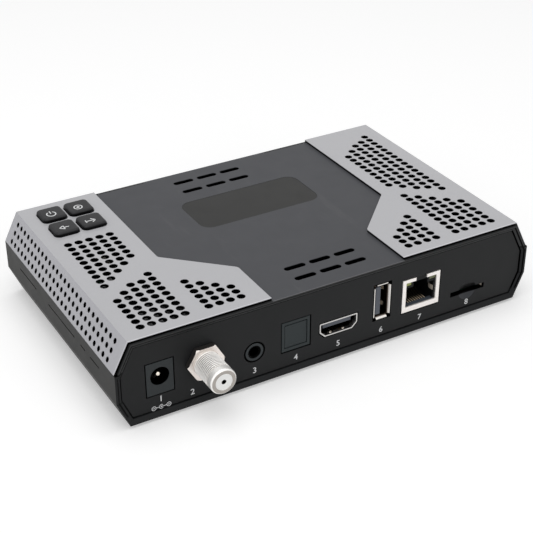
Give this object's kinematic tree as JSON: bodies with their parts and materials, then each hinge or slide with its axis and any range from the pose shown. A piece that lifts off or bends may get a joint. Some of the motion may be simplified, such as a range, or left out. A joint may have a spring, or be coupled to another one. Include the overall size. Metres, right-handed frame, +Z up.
{
  "type": "satellite television receiver",
  "caption": "Flat eight-sided receiver case with perforated silver side plates, top keys and a rear panel of power, antenna, audio, video, data, network and card connectors.",
  "frame": {"origin": "centre of the case's flat underside", "axes": "+X across the case towards the keys' side, +Y towards the connectors at the rear, +Z up"},
  "size_m": [0.166, 0.1128, 0.0348],
  "materials": {
    "case_plastic": "fine-grained dark grey",
    "panel_plastic": "satin near-black",
    "silver_plastic": "satin silver-grey paint",
    "window_plastic": "smooth, slightly glossy",
    "lens_plastic": "polished",
    "key_plastic": "satin",
    "circuit_board": "green solder resist",
    "black_plastic": "satin",
    "grey_plastic": "satin",
    "white_plastic": "smooth",
    "red_plastic": "clear-looking dark red",
    "light_pipe": "translucent yellow-green",
    "plated_metal": "nickel plate",
    "gold_contact": "gold flash",
    "sheet_steel": "tinned sheet",
    "screw_steel": "zinc plate",
    "fin_aluminium": "anodised clear",
    "capacitor_can": "sleeved",
    "ferrite": "moulded",
    "foot_rubber": "matte"
  },
  "bodies": {
    "receiver_body": {"antenna_barrel": "plated_metal", "antenna_contact": "gold_contact", "antenna_insulator": "white_plastic", "antenna_nut": "plated_metal", "av_jack_contacts": "gold_contact", "av_jack_housing": "black_plastic", "av_jack_sleeve": "grey_plastic", "board_screws": "screw_steel", "bottom_case": "case_plastic", "button_board": "circuit_board", "cable_sockets": "white_plastic", "capacitors": "capacitor_can", "card_socket_base": "black_plastic", "card_socket_cover": "sheet_steel", "case_screws": "screw_steel", "data_port_contacts": "gold_contact", "data_port_shell": "plated_metal", "data_port_tongue": "grey_plastic", "display_lens": "lens_plastic", "display_module": "lens_plastic", "front_board": "circuit_board", "front_panel": "panel_plastic", "heatsink": "fin_aluminium", "inductors": "ferrite", "label_window": "window_plastic", "left_side_plate": "silver_plastic", "main_board": "circuit_board", "main_processor": "black_plastic", "memory_chips": "black_plastic", "network_jack_contacts": "gold_contact", "network_jack_insert": "black_plastic", "network_jack_lights": "light_pipe", "network_jack_shield": "plated_metal", "optical_emitter": "red_plastic", "optical_jack_housing": "black_plastic", "power_jack_housing": "black_plastic", "power_jack_pin": "plated_metal", "power_jack_spring": "gold_contact", "rear_panel": "panel_plastic", "remote_receiver": "black_plastic", "right_side_plate": "silver_plastic", "rubber_feet": "foot_rubber", "tact_switches": "black_plastic", "top_case": "case_plastic", "tuner_can": "sheet_steel", "tuner_cover": "sheet_steel", "video_port_contacts": "gold_contact", "video_port_shell": "plated_metal", "video_port_tongue": "black_plastic"},
    "power_button": {"power_key": "key_plastic", "power_plunger": "grey_plastic"},
    "select_button": {"select_key": "key_plastic", "select_plunger": "grey_plastic"},
    "left_button": {"left_key": "key_plastic", "left_plunger": "grey_plastic"},
    "right_button": {"right_key": "key_plastic", "right_plunger": "grey_plastic"},
    "jack_shutter": {"optical_shutter": "black_plastic"},
    "eject_slider": {"card_slider": "grey_plastic"}
  },
  "joints": [
    {"name": "power_press", "type": "slide", "parent": "receiver_body", "child": "power_button", "axis": [0, 0, -1], "range_m": [0, 0.0005], "stiffness_N_per_m": 800},
    {"name": "select_press", "type": "slide", "parent": "receiver_body", "child": "select_button", "axis": [0, 0, -1], "range_m": [0, 0.0005], "stiffness_N_per_m": 800},
    {"name": "left_press", "type": "slide", "parent": "receiver_body", "child": "left_button", "axis": [0, 0, -1], "range_m": [0, 0.0005], "stiffness_N_per_m": 800},
    {"name": "right_press", "type": "slide", "parent": "receiver_body", "child": "right_button", "axis": [0, 0, -1], "range_m": [0, 0.0005], "stiffness_N_per_m": 800},
    {"name": "shutter_swing", "type": "hinge", "parent": "receiver_body", "child": "jack_shutter", "pos_m": [0.0158, 0.04735, 0.0188], "axis": [-1, 0, 0], "range_deg": [0, 80], "stiffness_Nm_per_rad": 0.0005},
    {"name": "eject_slide", "type": "slide", "parent": "receiver_body", "child": "eject_slider", "axis": [0, -1, 0], "range_m": [0, 0.0012], "stiffness_N_per_m": 100}
  ]
}
